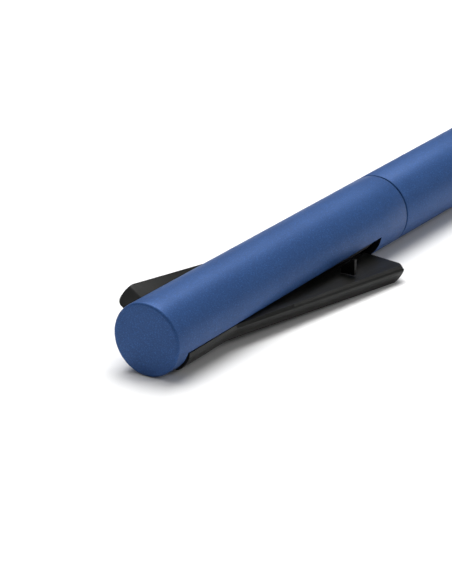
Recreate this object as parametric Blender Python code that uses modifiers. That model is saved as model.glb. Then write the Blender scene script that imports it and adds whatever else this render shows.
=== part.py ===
"""Capped rollerball pen, lying on its side with the sprung clip blade beside it.

Frame: metres, +Z up.  The pen's axis is the X axis.  X = 0 is the flat end face of
the cap, the writing tip points towards -X inside the cap and the barrel's flat end
face is at X = PEN_LENGTH.  The pen touches the table along Z = -PEN_DIAMETER / 2.

Directions around the axis are given as an angle above the horizontal on the -Y side,
so 0 points along -Y, 90 points up and -90 points down at the table.
"""
import math

import bmesh
import bpy
from mathutils import Matrix, Vector

MM = 0.001

# --- driving dimensions -------------------------------------------------------
PEN_DIAMETER = 11.5 * MM        # cap and barrel share one outside diameter
PEN_LENGTH = 138.0 * MM         # end face to end face, cap on
CAP_LENGTH = 65.2 * MM
SHELL_WALL = 0.9 * MM
END_WALL = 1.5 * MM             # flat closed end of the cap
END_BEVEL = 0.45 * MM
SEAM_GAP = 0.3 * MM             # cap mouth to barrel

CLIP_ANGLE = -34.0              # direction of the clip's plane round the axis, degrees
SLOT_ANGLE = -42.0              # direction in which the clip's slot is cut, degrees
SLOT_UPPER_START = 2.3 * MM     # slot's upper side from its middle plane, press end
SLOT_UPPER_END = 2.96 * MM      # the same at the far end
SLOT_LOWER = 2.42 * MM          # slot's lower side from its middle plane
SLOT_START = 3.0 * MM
SLOT_END = 57.5 * MM
TAB_SLOT_END = 25.5 * MM        # slot for the press tab, opposite the clip's slot
CLIP_KINK = 15.75 * MM          # where the arm bends away, above the pivot pin
CLIP_TIP = 55.1 * MM            # furthest reach of the arm
CLIP_OVERHANG = 6.55 * MM       # arm's ridge beyond the cap's side at the tip
CLIP_ARM_WIDTH = 8.7 * MM       # ridge to the arm's inner side, which lies in the slot
CLIP_ARM_THICKNESS = 2.3 * MM
TAB_HEIGHT = 2.63 * MM          # press tab above the cap's surface
TAB_NOSE = 3.15 * MM            # length of the tab's rounded nose
TAB_FACET = 3.0 * MM            # length of the slanting facet across the nose
TAB_CREST = 5.5 * MM            # station of the tab's highest point
WEB_THICKNESS = 1.5 * MM
FOOT_FROM_TIP = 10.4 * MM
FOOT_THICKNESS = 0.65 * MM
FOOT_WIDTH = 2.5 * MM
FOOT_HEIGHT = 2.6 * MM
FOOT_INNER_HEIGHT = 0.9 * MM    # the foot is lower beside the pen
PIVOT_DIAMETER = 1.6 * MM

INNER_CAP_START = 29.6 * MM
INNER_CAP_WALL = 0.45 * MM
TIP_STATION = 33.9 * MM         # end of the writing ball
GRIP_DIAMETER = 7.8 * MM
GRIP_REAR_DIAMETER = 8.0 * MM
CONE_LENGTH = 7.6 * MM
NOSE_REACH = 2.6 * MM           # bare metal tip in front of the cone
COLLAR_LENGTH = 2.4 * MM
THREAD_LENGTH = 8.5 * MM
THREAD_DIAMETER = 8.2 * MM

REFILL_LENGTH = 98.0 * MM
REFILL_DIAMETER = 6.0 * MM
REFILL_WALL = 0.35 * MM
REFILL_NECK_DIAMETER = 2.4 * MM
BALL_DIAMETER = 0.7 * MM

# --- clearances ---------------------------------------------------------------
SEAT_GAP = 0.08 * MM            # radial, between pieces pressed together
RUNNING_GAP = 0.08 * MM         # radial, between pieces that turn or slide
FACE_GAP = 0.3 * MM             # end to end, between pieces that rest on each other

SEGMENTS = 40
FINE_SEGMENTS = 24

PEN_RADIUS = PEN_DIAMETER / 2
BORE_RADIUS = PEN_RADIUS - SHELL_WALL
CLIP_REACH = PEN_RADIUS + CLIP_OVERHANG
BARREL_START = CAP_LENGTH + SEAM_GAP


# --- scene helpers ------------------------------------------------------------
def clear_scene():
    """Remove every object that a new file brings."""
    for item in list(bpy.data.objects):
        bpy.data.objects.remove(item, do_unlink=True)


def new_collection(name):
    """Make a collection and link it to the scene."""
    group = bpy.data.collections.new(name)
    bpy.context.scene.collection.children.link(group)
    return group


def make_material(name, colour, roughness, metallic):
    """Make a plain Principled material."""
    material = bpy.data.materials.new(name)
    material.use_nodes = True
    shader = material.node_tree.nodes["Principled BSDF"]
    shader.inputs["Base Color"].default_value = (*colour, 1.0)
    shader.inputs["Roughness"].default_value = roughness
    shader.inputs["Metallic"].default_value = metallic
    material.diffuse_color = (*colour, 1.0)
    return material


def clip_direction(angle):
    """Unit vector across the axis at an angle above -Y."""
    turn = math.radians(angle)
    return Vector((0.0, -math.cos(turn), math.sin(turn)))


def clip_frame(angle=CLIP_ANGLE):
    """Matrix whose X is the pen's axis, Y points out along the angle and Z is across."""
    along = Vector((1.0, 0.0, 0.0))
    out = clip_direction(angle)
    across = along.cross(out)
    matrix = Matrix((along, out, across)).transposed().to_4x4()
    return matrix


def finish(item, material, collection, sharp=35.0):
    """Give an object its material, its collection and smooth shading."""
    item.data.materials.clear()
    item.data.materials.append(material)
    if item.name not in collection.objects:
        for owner in list(item.users_collection):
            owner.objects.unlink(item)
        collection.objects.link(item)
    if item.type == "MESH":
        item.data.shade_smooth()
        item.data.set_sharp_from_angle(angle=math.radians(sharp))
    return item


def add_mesh(name, mesh_builder, collection):
    """Run a bmesh builder and link its object."""
    mesh = bpy.data.meshes.new(name)
    work = bmesh.new()
    mesh_builder(work)
    work.to_mesh(mesh)
    work.free()
    item = bpy.data.objects.new(name, mesh)
    collection.objects.link(item)
    return item


def turned(name, outline, material, collection, steps=SEGMENTS, centre=(0.0, 0.0, 0.0)):
    """Turn a closed outline of (station, radius) points about the X direction.

    An outline that starts and ends on the axis makes a solid; any other is closed
    into a ring.  The outline may be drawn either way round.
    """
    area = sum(a[0] * b[1] - b[0] * a[1] for a, b in zip(outline, outline[1:] + outline[:1]))
    points = list(outline) if area > 0.0 else list(reversed(outline))
    on_axis = [index for index, point in enumerate(points) if point[1] == 0.0]
    solid = len(on_axis) == 2
    if solid and on_axis != [0, len(points) - 1]:
        points = points[on_axis[1]:] + points[:on_axis[1]]

    def build(work):
        vertices = [work.verts.new((station, radius, 0.0)) for station, radius in points]
        for first, second in zip(vertices, vertices[1:]):
            work.edges.new((first, second))
        if not solid:
            work.edges.new((vertices[-1], vertices[0]))

    item = add_mesh(name, build, collection)
    item.location = centre
    screw = item.modifiers.new("turn", "SCREW")
    screw.axis = "X"
    screw.steps = steps
    screw.render_steps = steps
    screw.use_merge_vertices = True
    screw.merge_threshold = 0.000001
    screw.use_smooth_shade = True
    return finish(item, material, collection)


def tube_outline(start, end, inner, outer, bevel=0.0):
    """Outline of a plain sleeve, with its outer edges bevelled."""
    if bevel:
        outer_side = [(end - bevel, outer), (start + bevel, outer)]
        front = [(start, outer - bevel)]
        back = [(end, outer - bevel)]
    else:
        outer_side = []
        front = [(start, outer)]
        back = [(end, outer)]
    return [(end, inner)] + back + outer_side + front + [(start, inner)]


def rounded_corner(station, radius, size, towards, count=3):
    """Points of a rounded outer edge at an end face; towards is +1 for the far end."""
    points = []
    for index in range(count + 1):
        turn = math.radians(90.0 * index / count)
        points.append((station - towards * size * (1.0 - math.cos(turn)),
                       radius - size * (1.0 - math.sin(turn))))
    return points if towards > 0 else list(reversed(points))


def box_cutter(name, low, high, frame, cutters):
    """A box between two corners in a frame, for cutting."""
    size = [b - a for a, b in zip(low, high)]
    middle = [(a + b) / 2 for a, b in zip(low, high)]

    def build(work):
        bmesh.ops.create_cube(work, size=1.0)
        bmesh.ops.scale(work, vec=size, verts=work.verts)
        bmesh.ops.translate(work, vec=middle, verts=work.verts)

    item = add_mesh(name, build, cutters)
    item.matrix_world = frame
    hide_cutter(item)
    return item


def round_cutter(name, radius, start, end, frame, cutters, steps=FINE_SEGMENTS):
    """A cylinder along a frame's Z, for cutting."""

    def build(work):
        bmesh.ops.create_cone(work, cap_ends=True, segments=steps, radius1=radius,
                              radius2=radius, depth=end - start)
        bmesh.ops.translate(work, vec=(0.0, 0.0, (start + end) / 2), verts=work.verts)

    item = add_mesh(name, build, cutters)
    item.matrix_world = frame
    hide_cutter(item)
    return item


def hide_cutter(item):
    """Keep a cutter out of the render."""
    item.hide_render = True
    item.display_type = "WIRE"


def combine(item, other, operation="DIFFERENCE"):
    """Add a Boolean modifier."""
    boolean = item.modifiers.new(other.name, "BOOLEAN")
    boolean.operation = operation
    boolean.solver = "EXACT"
    boolean.object = other


def coil(name, radius, wire, start, end, turns, frame, material, collection, points=10):
    """A helical spring along a frame's Z."""
    curve = bpy.data.curves.new(name, "CURVE")
    curve.dimensions = "3D"
    curve.bevel_depth = wire / 2
    curve.bevel_resolution = 1
    curve.use_fill_caps = True
    total = int(turns * points) + 1
    line = curve.splines.new("POLY")
    line.points.add(total - 1)
    for index, point in enumerate(line.points):
        part = index / (total - 1)
        turn = part * turns * math.tau
        point.co = (radius * math.cos(turn), radius * math.sin(turn),
                    start + (end - start) * part, 1.0)
    item = bpy.data.objects.new(name, curve)
    collection.objects.link(item)
    item.matrix_world = frame
    return finish(item, material, collection)


# --- cap ----------------------------------------------------------------------
def build_cap_shell(material, parts, cutters):
    """The drawn cap tube, closed at X = 0, with the clip's slot and the tab's slot."""
    outline = [(CAP_LENGTH, BORE_RADIUS), (CAP_LENGTH, PEN_RADIUS - 0.1 * MM),
               (CAP_LENGTH - 0.1 * MM, PEN_RADIUS)]
    outline += rounded_corner(0.0, PEN_RADIUS, END_BEVEL, -1)
    outline += [(0.0, 0.0), (END_WALL, 0.0), (END_WALL, BORE_RADIUS)]
    shell = turned("cap_shell", outline, material, parts)
    deep = BORE_RADIUS * 0.5
    clip_slot = box_cutter("clip_slot", (SLOT_START, deep, -SLOT_UPPER_START),
                           (SLOT_END, PEN_DIAMETER, SLOT_LOWER), clip_frame(SLOT_ANGLE),
                           cutters)
    for vertex in clip_slot.data.vertices:
        if vertex.co.z < 0.0 and vertex.co.x > (SLOT_START + SLOT_END) / 2:
            vertex.co.z = -SLOT_UPPER_END
    web_half = WEB_THICKNESS / 2 + SEAT_GAP * 2
    tab_slot = box_cutter("tab_slot", (SLOT_START, -PEN_DIAMETER, -web_half),
                          (TAB_SLOT_END, -deep, web_half), clip_frame(), cutters)
    combine(shell, clip_slot)
    combine(shell, tab_slot)
    return shell


def build_inner_cap(material, parts):
    """The closed liner that seals round the tip."""
    outer = INNER_CAP_RADIUS
    inner = outer - INNER_CAP_WALL
    end = CAP_LENGTH - 4.2 * MM
    seat = GRIP_DIAMETER / 2 - 1.4 * MM
    seat_end = INNER_CAP_START + 3.6 * MM
    outline = [(end, inner), (end, outer), (INNER_CAP_START, outer), (INNER_CAP_START, 0.0),
               (INNER_CAP_START + 0.8 * MM, 0.0), (INNER_CAP_START + 0.8 * MM, seat),
               (seat_end, seat), (seat_end + 0.8 * MM, inner)]
    return turned("inner_cap", outline, material, parts, steps=32)


def build_snap_ring(material, parts):
    """Spring ring near the mouth of the cap that grips the section's collar."""
    start = CAP_LENGTH - 3.9 * MM
    outline = tube_outline(start, start + 1.0 * MM, COLLAR_RADIUS - 0.25 * MM + RUNNING_GAP,
                           BORE_RADIUS - SEAT_GAP)
    return turned("cap_snap_ring", outline, material, parts, steps=32)


def build_clip_carrier(material, parts, cutters):
    """Moulded block in the closed end that holds the clip's pivot pin."""
    radius = BORE_RADIUS - SEAT_GAP
    start = END_WALL + FACE_GAP
    end = INNER_CAP_START - FACE_GAP
    outline = [(end, 0.0), (end, radius), (start, radius), (start, 0.0)]
    block = turned("clip_carrier", outline, material, parts, steps=32)
    frame = clip_frame()
    web_half = WEB_THICKNESS / 2 + SEAT_GAP * 2
    through = box_cutter("carrier_web_slot", (SLOT_START, -PEN_RADIUS, -web_half),
                         (TAB_SLOT_END, PEN_RADIUS, web_half), frame, cutters)
    channel = box_cutter("carrier_root_channel",
                         (SLOT_START, ROOT_INNER - PRESS_TRAVEL, -SLOT_UPPER_END),
                         (end + MM, PEN_DIAMETER, SLOT_LOWER), clip_frame(SLOT_ANGLE),
                         cutters)
    pin_frame = Matrix.Translation((CLIP_KINK, 0.0, 0.0)) @ frame
    pin_hole = round_cutter("carrier_pin_hole", PIVOT_DIAMETER / 2 + SEAT_GAP,
                            -PEN_RADIUS, PEN_RADIUS, pin_frame, cutters)
    pocket = round_cutter("carrier_spring_pocket", SPRING_POCKET_RADIUS,
                          web_half - 0.1 * MM, SPRING_POCKET_END, pin_frame, cutters)
    for cutter in (through, channel, pin_hole, pocket):
        combine(block, cutter)
    return block


def build_pivot_pin(material, parts):
    """Dowel that the clip blade rocks on."""
    reach = math.sqrt(BORE_RADIUS ** 2 - PIVOT_DIAMETER ** 2 / 4) - 0.25 * MM
    outline = tube_outline(-reach, reach, 0.0, PIVOT_DIAMETER / 2, 0.15 * MM)
    pin = turned("clip_pivot_pin", outline, material, parts, steps=FINE_SEGMENTS)
    across = clip_frame().col[2].to_3d()
    pin.rotation_euler = across.to_track_quat("X", "Z").to_euler()
    pin.location = (CLIP_KINK, 0.0, 0.0)
    return pin


def build_clip_spring(material, parts):
    """Torsion spring coiled round the pivot pin, in the carrier's pocket."""
    frame = Matrix.Translation((CLIP_KINK, 0.0, 0.0)) @ clip_frame()
    start = WEB_THICKNESS / 2 + 0.55 * MM
    return coil("clip_torsion_spring", SPRING_COIL_RADIUS, SPRING_WIRE, start,
                SPRING_POCKET_END - 0.45 * MM, 3, frame, material, parts)


def round_axis(station, corners):
    """Points of one blade section given as (degrees above -Y, radius / pen radius)."""
    return [Vector((station, 0.0, 0.0)) + clip_direction(angle) * share * PEN_RADIUS
            for angle, share in corners]


def slot_angle(station, share):
    """Direction in the clip's slot: share 1 is its upper side, 0 its middle, -1 lower."""
    along = (station - SLOT_START) / (SLOT_END - SLOT_START)
    upper = SLOT_UPPER_START + (SLOT_UPPER_END - SLOT_UPPER_START) * along
    side = upper if share > 0.0 else SLOT_LOWER
    return SLOT_ANGLE + share * math.degrees(math.asin(side / PEN_RADIUS))


def in_slot(station, corners):
    """Points of one blade section given as (share across the slot, radius / pen radius)."""
    return round_axis(station, [(slot_angle(station, share), radius)
                                for share, radius in corners])


def blade_rings():
    """Cross-sections of the clip's root and arm, from the press end to the tip.

    Each section runs inner top, outer top, ridge, three points round the outside and
    inner bottom.
    """
    table = -PEN_RADIUS
    top = table + CLIP_ARM_THICKNESS
    inner = CLIP_REACH - CLIP_ARM_WIDTH
    press_end = in_slot(SLOT_START + 0.55 * MM, [
        (0.93021, 0.66), (0.94712, 0.998), (0.46510, 1.035), (-0.12053, 1.065),
        (-0.50222, 1.075), (-0.80355, 1.05), (-0.80355, 0.66)])
    kink = in_slot(CLIP_KINK, [
        (0.94982, 0.65), (0.98148, 0.995), (0.76777, 1.04), (0.23745, 1.05),
        (-0.28124, 1.043), (-0.76337, 1.03), (-0.80355, 0.66)])
    tip = [
        Vector((CLIP_TIP + 0.5 * MM, -inner, top)),
        Vector((CLIP_TIP - 0.8 * MM, -(CLIP_REACH - 0.3 * MM), top)),
        Vector((CLIP_TIP - 2.4 * MM, -CLIP_REACH, table + CLIP_ARM_THICKNESS / 2)),
        Vector((CLIP_TIP - 3.5 * MM, -(CLIP_REACH - 0.4 * MM), table + 0.5 * MM)),
        Vector((CLIP_TIP - 4.2 * MM, -(CLIP_REACH - 1.0 * MM), table)),
        Vector((CLIP_TIP - 3.6 * MM, -(CLIP_REACH - 3.3 * MM), table)),
        Vector((CLIP_TIP - 2.8 * MM, -inner - 0.5 * MM, table)),
    ]
    middle = [a.lerp(b, 0.33) for a, b in zip(kink, tip)]
    clear = (INNER_CAP_RADIUS + 0.3 * MM) / PEN_RADIUS
    middle[0] = round_axis(middle[0].x, [(-25.0, clear)])[0]
    middle[-1] = round_axis(middle[-1].x, [(-57.0, clear + 0.05)])[0]
    return [press_end, kink, middle, tip]


def loft(work, rings):
    """Skin between rings of equal count and close both ends."""
    rows = [[work.verts.new(point) for point in ring] for ring in rings]
    for first, second in zip(rows, rows[1:]):
        count = len(first)
        for index in range(count):
            after = (index + 1) % count
            work.faces.new((first[index], first[after], second[after], second[index]))
    work.faces.new(list(reversed(rows[0])))
    work.faces.new(rows[-1])
    bmesh.ops.recalc_face_normals(work, faces=work.faces)


def tab_outline():
    """Outline of the web and press tab in the clip frame: station, distance out."""
    surface = PEN_RADIUS + 0.23 * MM
    crest = PEN_RADIUS + TAB_HEIGHT
    wall = BORE_RADIUS - 0.2 * MM
    nose = TAB_CREST - TAB_NOSE
    neck = SLOT_START + 0.4 * MM
    run_out = TAB_SLOT_END - 3.5 * MM
    joined = PEN_RADIUS - 1.25 * MM
    points = [(neck + 0.4 * MM, joined), (neck + 0.4 * MM, -wall), (neck, -wall),
              (neck, -surface), (nose, -surface)]
    nose_steps = 8
    for index in range(1, nose_steps + 1):
        turn = math.radians(90.0 * index / nose_steps)
        points.append((TAB_CREST - TAB_NOSE * math.cos(turn),
                       -surface - (crest - surface) * math.sin(turn) ** 0.75))
    points += [(TAB_CREST + 0.8 * MM, -crest), (run_out, -PEN_RADIUS - 0.1 * MM),
               (run_out + 1.2 * MM, -wall), (run_out + 1.4 * MM, joined)]
    return points


def build_clip_blade(material, parts, cutters):
    """The clip: press end and arm on one side, web through the cap, tab on the other."""
    blade = add_mesh("clip_blade", lambda work: loft(work, blade_rings()), parts)
    curve = bpy.data.curves.new("clip_web", "CURVE")
    curve.dimensions = "2D"
    curve.fill_mode = "BOTH"
    curve.extrude = WEB_THICKNESS / 2
    outline = tab_outline()
    line = curve.splines.new("POLY")
    line.points.add(len(outline) - 1)
    for point, (station, out) in zip(line.points, outline):
        point.co = (station, out, 0.0, 1.0)
    line.use_cyclic_u = True
    flat = bpy.data.objects.new("clip_web_outline", curve)
    cutters.objects.link(flat)
    flat.matrix_world = clip_frame()
    web = as_mesh(flat, "clip_web", cutters)
    hide_cutter(web)
    combine(blade, web, "UNION")
    frame = clip_frame()
    slope = math.atan2(WEB_THICKNESS, TAB_FACET)
    facet_frame = (frame @ Matrix.Translation((TAB_CREST, 0.0, -WEB_THICKNESS / 2))
                   @ Matrix.Rotation(slope, 4, "Y"))
    facet = box_cutter("tab_nose_facet", (-9.0 * MM, -PEN_DIAMETER, -3.0 * MM),
                       (0.0, -PEN_RADIUS - 0.1 * MM, 0.0), facet_frame, cutters)
    combine(blade, facet)
    pin_frame = Matrix.Translation((CLIP_KINK, 0.0, 0.0)) @ frame
    pin_bore = round_cutter("blade_pin_bore", PIVOT_DIAMETER / 2 + RUNNING_GAP,
                            -3.0 * MM, 3.0 * MM, pin_frame, cutters)
    combine(blade, pin_bore)
    return finish(blade, material, parts, sharp=20.0)


def as_mesh(item, name, collection):
    """Turn a curve into a welded mesh object and remove the curve."""
    bpy.context.view_layer.update()
    graph = bpy.context.evaluated_depsgraph_get()
    mesh = bpy.data.meshes.new_from_object(item.evaluated_get(graph))
    work = bmesh.new()
    work.from_mesh(mesh)
    bmesh.ops.remove_doubles(work, verts=work.verts, dist=0.000001)
    bmesh.ops.recalc_face_normals(work, faces=work.faces)
    work.to_mesh(mesh)
    work.free()
    result = bpy.data.objects.new(name, mesh)
    collection.objects.link(result)
    result.matrix_world = item.matrix_world
    bpy.data.objects.remove(item, do_unlink=True)
    return result


def build_foot(material, parts):
    """Thin upright foot on the arm's flat face, across the pen beside the slot."""
    station = CLIP_TIP - FOOT_FROM_TIP
    kink, tip = blade_rings()[2:]
    heights = []
    for side in (0, 1):
        part = (station - FOOT_THICKNESS - kink[side].x) / (tip[side].x - kink[side].x)
        heights.append(kink[side].lerp(tip[side], part).z)
    floor = max(heights) + FACE_GAP * 0.5
    near = PEN_RADIUS + FACE_GAP
    far = near + FOOT_WIDTH
    corners = [(near, 0.0), (far, 0.0), (far, FOOT_HEIGHT), (far - 0.4 * MM, FOOT_HEIGHT),
               (near, FOOT_INNER_HEIGHT)]

    def build(work):
        outline = [work.verts.new((station - FOOT_THICKNESS / 2, -side, floor + height))
                   for side, height in corners]
        face = work.faces.new(outline)
        grown = bmesh.ops.extrude_face_region(work, geom=[face])["geom"]
        lifted = [part for part in grown if isinstance(part, bmesh.types.BMVert)]
        bmesh.ops.translate(work, vec=(FOOT_THICKNESS, 0.0, 0.0), verts=lifted)
        bmesh.ops.recalc_face_normals(work, faces=work.faces)

    foot = add_mesh("clip_foot", build, parts)
    return finish(foot, material, parts)


# --- section and barrel -------------------------------------------------------
def build_section(material, parts):
    """Grip section: grip, collar and threaded shank in one turned piece."""
    bore = REFILL_DIAMETER / 2 + RUNNING_GAP
    shank = THREAD_DIAMETER / 2
    groove = shank - ORING_WIRE
    groove_start = BARREL_START + 0.5 * MM
    groove_end = groove_start + ORING_WIRE + 0.1 * MM
    end = BARREL_START + THREAD_LENGTH
    outline = [(end, bore), (end, shank - 0.2 * MM), (end - 0.2 * MM, shank)]
    outline += [(groove_end, shank), (groove_end, groove), (groove_start, groove),
                (groove_start, shank)]
    outline += [(COLLAR_END, shank), (COLLAR_END, COLLAR_RADIUS - COLLAR_THICKNESS),
                (COLLAR_START, COLLAR_RADIUS - COLLAR_THICKNESS),
                (COLLAR_START, GRIP_REAR_DIAMETER / 2),
                (GRIP_START, GRIP_DIAMETER / 2), (GRIP_START, bore)]
    return turned("grip_section", outline, material, parts, steps=32)


def build_collar_ring(material, parts):
    """Bright ring on the section that the cap's snap ring grips."""
    inner = COLLAR_RADIUS - COLLAR_THICKNESS + SEAT_GAP
    outline = tube_outline(COLLAR_START, COLLAR_END, inner, COLLAR_RADIUS, 0.2 * MM)
    return turned("section_collar_ring", outline, material, parts, steps=32)


def build_o_ring(material, parts):
    """Seal in the groove at the front of the thread."""
    wire = ORING_WIRE / 2 - 0.03 * MM
    middle_radius = THREAD_DIAMETER / 2 - ORING_WIRE + wire + 0.02 * MM
    station = BARREL_START + 0.5 * MM + ORING_WIRE / 2 + 0.05 * MM
    outline = [(station + wire * math.cos(math.radians(60.0 * step)),
                middle_radius + wire * math.sin(math.radians(60.0 * step)))
               for step in range(6)]
    return turned("section_o_ring", outline, material, parts, steps=32)


def build_front_cone(material, parts):
    """Metal cone screwed into the front of the section."""
    spigot = REFILL_DIAMETER / 2 - 0.7 * MM
    mouth = REFILL_NECK_DIAMETER / 2 + RUNNING_GAP
    start = GRIP_START - CONE_LENGTH
    end = GRIP_START - FACE_GAP * 0.5
    outline = [(end, spigot), (end, GRIP_DIAMETER / 2 - 0.05 * MM),
               (end - 0.8 * MM, GRIP_DIAMETER / 2 - 0.05 * MM),
               (start, mouth + 0.45 * MM), (start, mouth),
               (start + 2.6 * MM, mouth), (start + 4.4 * MM, spigot)]
    return turned("front_cone", outline, material, parts, steps=32)


def build_barrel_tube(material, parts):
    """Drawn barrel tube, open at both ends until its bush and plug go in."""
    outline = tube_outline(BARREL_START, PEN_LENGTH - END_BEVEL - FACE_GAP, BORE_RADIUS,
                           PEN_RADIUS)
    return turned("barrel_tube", outline, material, parts)


def build_barrel_plug(material, parts):
    """Flat end plug of the barrel, with a spigot and a seat for the spring."""
    spigot = BORE_RADIUS - SEAT_GAP
    shoulder = PEN_LENGTH - END_BEVEL
    seat_radius = REFILL_DIAMETER / 2 + 0.5 * MM
    spigot_start = SPRING_END - 1.5 * MM
    outline = [(PEN_LENGTH, 0.0)]
    outline += rounded_corner(PEN_LENGTH, PEN_RADIUS, END_BEVEL, 1)
    outline += [(shoulder, spigot), (spigot_start, spigot), (spigot_start, seat_radius),
                (SPRING_END + 0.1 * MM, seat_radius), (SPRING_END + 0.1 * MM, 0.0)]
    return turned("barrel_end_plug", outline, material, parts)


def build_thread_bush(material, parts):
    """Brass bush that the section screws into."""
    inner = THREAD_DIAMETER / 2 + RUNNING_GAP
    start = BARREL_START + 0.2 * MM
    outline = tube_outline(start, start + THREAD_LENGTH + 1.2 * MM, inner,
                           BORE_RADIUS - SEAT_GAP)
    return turned("barrel_thread_bush", outline, material, parts, steps=32)


# --- refill -------------------------------------------------------------------
def build_refill_tube(material, parts):
    """Metal reservoir tube of the refill."""
    outer = REFILL_DIAMETER / 2
    inner = outer - REFILL_WALL
    outline = [(REFILL_END - 1.0 * MM, inner), (REFILL_END - 1.0 * MM, outer),
               (REFILL_SHOULDER, outer), (REFILL_SHOULDER, inner)]
    return turned("refill_tube", outline, material, parts, steps=FINE_SEGMENTS)


def build_refill_nose(material, parts):
    """Front holder of the refill: shoulder, neck and steel point carrier."""
    neck = REFILL_NECK_DIAMETER / 2
    plug = REFILL_DIAMETER / 2 - REFILL_WALL - SEAT_GAP
    start = POINT_START + 1.6 * MM
    bore = WICK_RADIUS + 0.1 * MM
    shoulder = REFILL_SHOULDER - FACE_GAP
    outline = [(REFILL_SHOULDER + 2.5 * MM, bore), (REFILL_SHOULDER + 2.5 * MM, plug),
               (shoulder, plug), (shoulder - 1.4 * MM, neck), (start, neck),
               (start - 0.8 * MM, POINT_RADIUS + 0.2 * MM), (start - 0.8 * MM, bore)]
    return turned("refill_nose", outline, material, parts, steps=FINE_SEGMENTS)


def build_point(material, parts):
    """Steel point with the socket that the writing ball turns in."""
    socket = BALL_DIAMETER / 2 + 0.03 * MM
    centre = TIP_STATION + BALL_DIAMETER / 2
    lip = centre - 0.06 * MM
    end = POINT_START + 0.8 * MM - FACE_GAP * 0.5
    channel = 0.12 * MM
    points = [(end, channel), (end, POINT_RADIUS), (lip + 0.9 * MM, POINT_RADIUS),
              (lip, BALL_DIAMETER / 2 + 0.12 * MM)]
    steps = 5
    for index in range(steps + 1):
        turn = math.radians(100.0 - 75.0 * index / steps)
        points.append((centre + socket * math.cos(turn), socket * math.sin(turn)))
    points.append((centre + socket + 0.2 * MM, channel))
    return turned("point_socket", points, material, parts, steps=20)


def build_ball(material, parts):
    """Writing ball."""

    def build(work):
        bmesh.ops.create_uvsphere(work, u_segments=16, v_segments=10, radius=BALL_DIAMETER / 2)

    ball = add_mesh("writing_ball", build, parts)
    ball.location = (TIP_STATION + BALL_DIAMETER / 2, 0.0, 0.0)
    return finish(ball, material, parts)


def build_wick(material, parts):
    """Fibre feed rod that carries ink to the point."""
    outline = tube_outline(POINT_START + 1.1 * MM, REFILL_SHOULDER + 6.0 * MM, 0.0, WICK_RADIUS)
    return turned("feed_wick", outline, material, parts, steps=16)


def build_reservoir(material, parts):
    """Fibre ink reservoir in the refill tube, pierced by the wick."""
    outer = REFILL_DIAMETER / 2 - REFILL_WALL - SEAT_GAP
    start = REFILL_SHOULDER + 2.8 * MM
    depth = REFILL_SHOULDER + 6.4 * MM
    hole = WICK_RADIUS + 0.1 * MM
    end = REFILL_END - 3.4 * MM
    outline = [(end, 0.0), (end, outer), (start, outer), (start, hole), (depth, hole),
               (depth, 0.0)]
    return turned("ink_reservoir", outline, material, parts, steps=FINE_SEGMENTS)


def build_refill_plug(material, parts):
    """Stopper at the rear of the refill, with its air hole."""
    flange = REFILL_DIAMETER / 2
    plug = flange - REFILL_WALL - SEAT_GAP
    vent = 0.4 * MM
    outline = [(REFILL_END, vent), (REFILL_END, flange - 0.3 * MM),
               (REFILL_END - 0.3 * MM, flange), (REFILL_END - 0.7 * MM, flange),
               (REFILL_END - 0.7 * MM, plug), (REFILL_END - 3.1 * MM, plug),
               (REFILL_END - 3.1 * MM, vent)]
    return turned("refill_end_plug", outline, material, parts, steps=FINE_SEGMENTS)


def build_refill_spring(material, parts):
    """Spring between the barrel's plug and the refill, which stops it rattling."""
    along = Vector((1.0, 0.0, 0.0)).to_track_quat("Z", "Y").to_matrix().to_4x4()
    frame = Matrix.Translation((REFILL_END, 0.0, 0.0)) @ along
    wire = 0.35 * MM
    return coil("refill_spring", REFILL_DIAMETER / 2 - 0.5 * MM, wire, wire / 2 + 0.1 * MM,
                SPRING_END - REFILL_END - wire / 2, 3, frame, material, parts)


# --- sizes worked out from the driving ones ------------------------------------
INNER_CAP_RADIUS = BORE_RADIUS - 0.25 * MM
COLLAR_RADIUS = BORE_RADIUS - 0.2 * MM
COLLAR_THICKNESS = 0.45 * MM
ROOT_INNER = PEN_RADIUS * 0.59  # clip root's inner face from the pen's axis
PRESS_TRAVEL = 1.2 * MM         # room for the press end to go in
COLLAR_END = CAP_LENGTH - FACE_GAP * 0.5
COLLAR_START = COLLAR_END - COLLAR_LENGTH
ORING_WIRE = 0.6 * MM
GRIP_START = TIP_STATION + NOSE_REACH + CONE_LENGTH
POINT_START = TIP_STATION + 0.9 * MM
POINT_RADIUS = 0.6 * MM
WICK_RADIUS = 0.45 * MM
REFILL_SHOULDER = GRIP_START + 0.8 * MM
REFILL_END = TIP_STATION + REFILL_LENGTH
SPRING_END = REFILL_END + 3.6 * MM
SPRING_WIRE = 0.4 * MM
SPRING_COIL_RADIUS = PIVOT_DIAMETER / 2 + SPRING_WIRE / 2 + 0.15 * MM
SPRING_POCKET_RADIUS = SPRING_COIL_RADIUS + SPRING_WIRE / 2 + 0.15 * MM
SPRING_POCKET_END = WEB_THICKNESS / 2 + 2.6 * MM


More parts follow.
